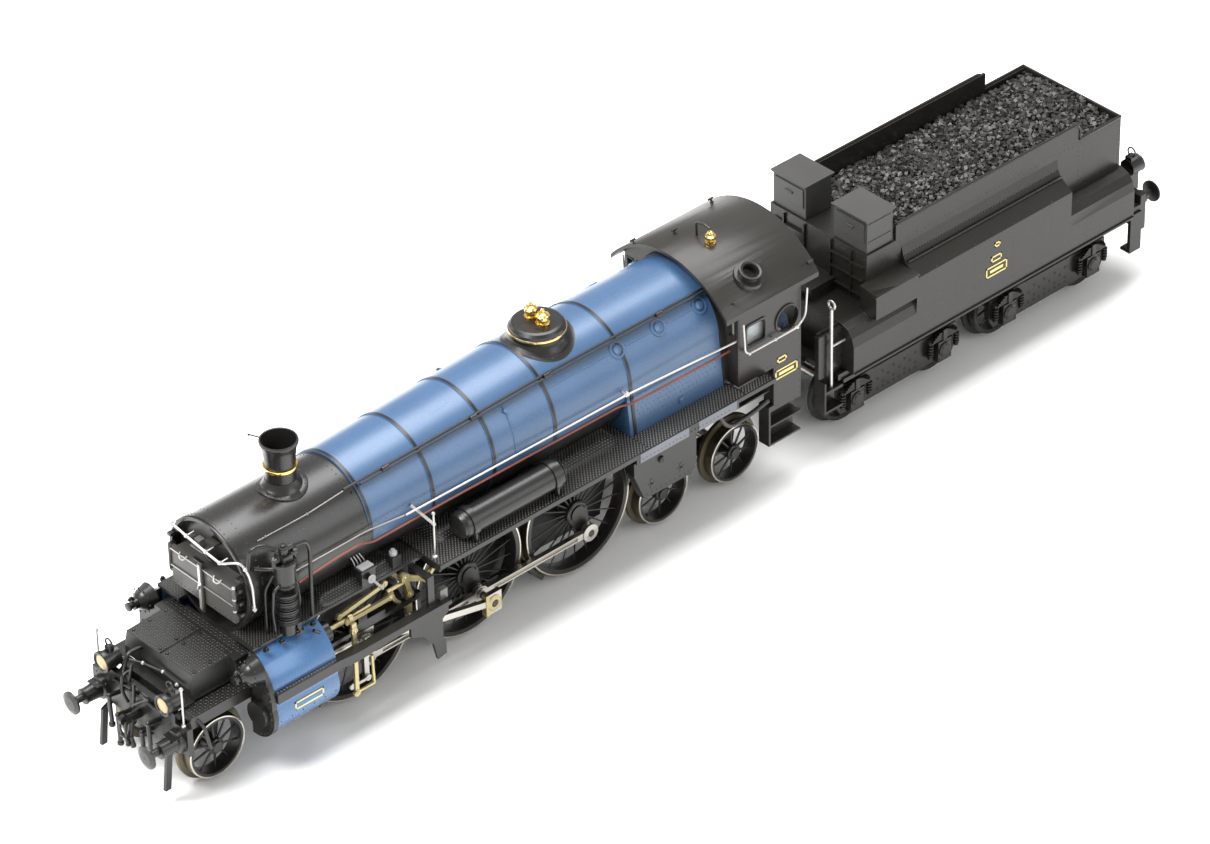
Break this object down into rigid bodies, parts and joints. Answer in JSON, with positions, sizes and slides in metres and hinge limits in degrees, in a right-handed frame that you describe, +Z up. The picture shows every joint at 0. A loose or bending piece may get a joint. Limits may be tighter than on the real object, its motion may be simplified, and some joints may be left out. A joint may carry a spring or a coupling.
{
  "type": "model steam locomotive with tender",
  "caption": "H0 scale model express steam locomotive with spoked wheels, rods, swinging trucks and a coal tender on two bogies.",
  "frame": {"origin": "mid-length over the buffers, on the track centre line, at the foot of the wheel flanges", "axes": "+X towards the tender, +Z up, +Y to the driver's right when facing backwards, so the left side of the locomotive as it runs is -Y"},
  "size_m": [0.245, 0.036, 0.0529],
  "materials": {
    "frame_black": "satin",
    "cab_black": "matt",
    "boiler_blue": "satin metallic paint",
    "polished_brass": "polished",
    "gear_brass": "satin",
    "bright_steel": "bright",
    "wheel_black": "satin, with bright tyres",
    "clear_glass": "clear",
    "lamp_glass": "warm tinted",
    "figure_paint": "matt paint",
    "motor_can": "plated",
    "board_green": "solder mask",
    "coal": "glinting facets",
    "toolbox_grey": "matt"
  },
  "bodies": {
    "loco": {"loco_frame": "frame_black", "front_beam": "frame_black", "front_buffers": "frame_black", "front_hoses": "frame_black", "headlamps": "frame_black", "headlamp_lenses": "lamp_glass", "front_cover": "frame_black", "smokebox": "frame_black", "smokebox_door": "frame_black", "chimney": "frame_black", "boiler": "boiler_blue", "firebox": "boiler_blue", "dome": "frame_black", "safety_valves": "polished_brass", "running_boards": "frame_black", "cylinders": "boiler_blue", "cylinder_covers": "frame_black", "valve_gear": "gear_brass", "motion_brackets": "frame_black", "air_pump": "frame_black", "air_reservoirs": "frame_black", "lubricators": "frame_black", "handrails": "bright_steel", "boiler_pipes": "frame_black", "ash_pan": "frame_black", "cab_body": "cab_black", "cab_roof": "cab_black", "cab_windows": "clear_glass", "driver_figure": "figure_paint", "whistle": "polished_brass", "motor": "motor_can"},
    "motor_spindle": {"motor_shaft": "bright_steel"},
    "pony": {"pony_truck": "frame_black"},
    "leading_axle": {"leading_wheels": "wheel_black"},
    "driver_1": {"driving_wheels_1": "wheel_black"},
    "driver_2": {"driving_wheels_2": "wheel_black"},
    "driver_3": {"driving_wheels_3": "wheel_black"},
    "coupling_left": {"coupling_rod_left": "bright_steel"},
    "coupling_right": {"coupling_rod_right": "bright_steel"},
    "main_left": {"main_rod_left": "bright_steel"},
    "main_right": {"main_rod_right": "bright_steel"},
    "slide_left": {"crosshead_left": "bright_steel"},
    "slide_right": {"crosshead_right": "bright_steel"},
    "rear_bogie": {"trailing_bogie": "frame_black"},
    "trailing_axle_1": {"trailing_wheels_1": "wheel_black"},
    "trailing_axle_2": {"trailing_wheels_2": "wheel_black"},
    "link_bar": {"drawbar": "frame_black"},
    "tender": {"tender_frame": "cab_black", "tender_body": "cab_black", "coal_load": "coal", "toolboxes": "toolbox_grey", "tender_rails": "bright_steel", "rear_fittings": "frame_black", "circuit_board": "board_green"},
    "tender_truck_1": {"tender_bogie_1": "cab_black"},
    "tender_truck_2": {"tender_bogie_2": "cab_black"},
    "tender_axle_1": {"tender_wheels_1": "wheel_black"},
    "tender_axle_2": {"tender_wheels_2": "wheel_black"},
    "tender_axle_3": {"tender_wheels_3": "wheel_black"},
    "tender_axle_4": {"tender_wheels_4": "wheel_black"}
  },
  "joints": [
    {"name": "driver_2_spin", "type": "hinge", "parent": "loco", "child": "driver_2", "pos_m": [-0.0508, 0, 0.01315], "axis": [0, 1, 0], "continuous": true},
    {"name": "driver_1_spin", "type": "hinge", "parent": "loco", "child": "driver_1", "pos_m": [-0.0763, 0, 0.01315], "axis": [0, 1, 0], "continuous": true},
    {"name": "driver_3_spin", "type": "hinge", "parent": "loco", "child": "driver_3", "pos_m": [-0.0253, 0, 0.01315], "axis": [0, 1, 0], "continuous": true},
    {"name": "coupling_rod_left_turn", "type": "hinge", "parent": "driver_2", "child": "coupling_left", "pos_m": [-0.04953, -0.01115, 0.00925], "axis": [0, 1, 0], "continuous": true},
    {"name": "main_rod_left_turn", "type": "hinge", "parent": "driver_2", "child": "main_left", "pos_m": [-0.04953, -0.0145, 0.00925], "axis": [0, 1, 0], "continuous": true},
    {"name": "crosshead_left_slide", "type": "slide", "parent": "loco", "child": "slide_left", "axis": [1, 0, 0], "range_m": [-0.00537, 0.00283]},
    {"name": "coupling_rod_right_turn", "type": "hinge", "parent": "driver_2", "child": "coupling_right", "pos_m": [-0.0469, 0.01115, 0.01442], "axis": [0, 1, 0], "continuous": true},
    {"name": "main_rod_right_turn", "type": "hinge", "parent": "driver_2", "child": "main_right", "pos_m": [-0.0469, 0.0145, 0.01442], "axis": [0, 1, 0], "continuous": true},
    {"name": "crosshead_right_slide", "type": "slide", "parent": "loco", "child": "slide_right", "axis": [1, 0, 0], "range_m": [-0.008, 0.0002]},
    {"name": "motor_spin", "type": "hinge", "parent": "loco", "child": "motor_spindle", "pos_m": [-0.0225, 0, 0.02015], "axis": [1, 0, 0], "continuous": true},
    {"name": "pony_swing", "type": "hinge", "parent": "loco", "child": "pony", "pos_m": [-0.092, 0, 0.009], "axis": [0, 0, 1], "range_deg": [-4, 4]},
    {"name": "leading_spin", "type": "hinge", "parent": "pony", "child": "leading_axle", "pos_m": [-0.1073, 0, 0.00695], "axis": [0, 1, 0], "continuous": true},
    {"name": "rear_bogie_swing", "type": "hinge", "parent": "loco", "child": "rear_bogie", "pos_m": [0.00392, 0, 0.009], "axis": [0, 0, 1], "range_deg": [-4, 4]},
    {"name": "trailing_1_spin", "type": "hinge", "parent": "rear_bogie", "child": "trailing_axle_1", "pos_m": [-0.0049, 0, 0.00695], "axis": [0, 1, 0], "continuous": true},
    {"name": "trailing_2_spin", "type": "hinge", "parent": "rear_bogie", "child": "trailing_axle_2", "pos_m": [0.01275, 0, 0.00695], "axis": [0, 1, 0], "continuous": true},
    {"name": "drawbar_swing", "type": "hinge", "parent": "loco", "child": "link_bar", "pos_m": [0.022, 0, 0.0106], "axis": [0, 0, 1], "range_deg": [-4, 4]},
    {"name": "tender_swing", "type": "hinge", "parent": "link_bar", "child": "tender", "pos_m": [0.0325, 0, 0.0106], "axis": [0, 0, 1], "range_deg": [-5, 5]},
    {"name": "tender_bogie_1_swing", "type": "hinge", "parent": "tender", "child": "tender_truck_1", "pos_m": [0.0516, 0, 0.01], "axis": [0, 0, 1], "range_deg": [-4, 4]},
    {"name": "tender_bogie_2_swing", "type": "hinge", "parent": "tender", "child": "tender_truck_2", "pos_m": [0.0914, 0, 0.01], "axis": [0, 0, 1], "range_deg": [-4, 4]},
    {"name": "tender_axle_1_spin", "type": "hinge", "parent": "tender_truck_1", "child": "tender_axle_1", "pos_m": [0.0403, 0, 0.00695], "axis": [0, 1, 0], "continuous": true},
    {"name": "tender_axle_2_spin", "type": "hinge", "parent": "tender_truck_1", "child": "tender_axle_2", "pos_m": [0.0629, 0, 0.00695], "axis": [0, 1, 0], "continuous": true},
    {"name": "tender_axle_3_spin", "type": "hinge", "parent": "tender_truck_2", "child": "tender_axle_3", "pos_m": [0.0801, 0, 0.00695], "axis": [0, 1, 0], "continuous": true},
    {"name": "tender_axle_4_spin", "type": "hinge", "parent": "tender_truck_2", "child": "tender_axle_4", "pos_m": [0.1027, 0, 0.00695], "axis": [0, 1, 0], "continuous": true}
  ],
  "couplings": [
    {"joint": "driver_1_spin", "follows": "driver_2_spin", "ratio": 1},
    {"joint": "driver_3_spin", "follows": "driver_2_spin", "ratio": 1},
    {"joint": "coupling_rod_left_turn", "follows": "driver_2_spin", "ratio": -1},
    {"joint": "main_rod_left_turn", "follows": "driver_2_spin", "ratio": -1},
    {"joint": "coupling_rod_right_turn", "follows": "driver_2_spin", "ratio": -1},
    {"joint": "main_rod_right_turn", "follows": "driver_2_spin", "ratio": -1}
  ]
}
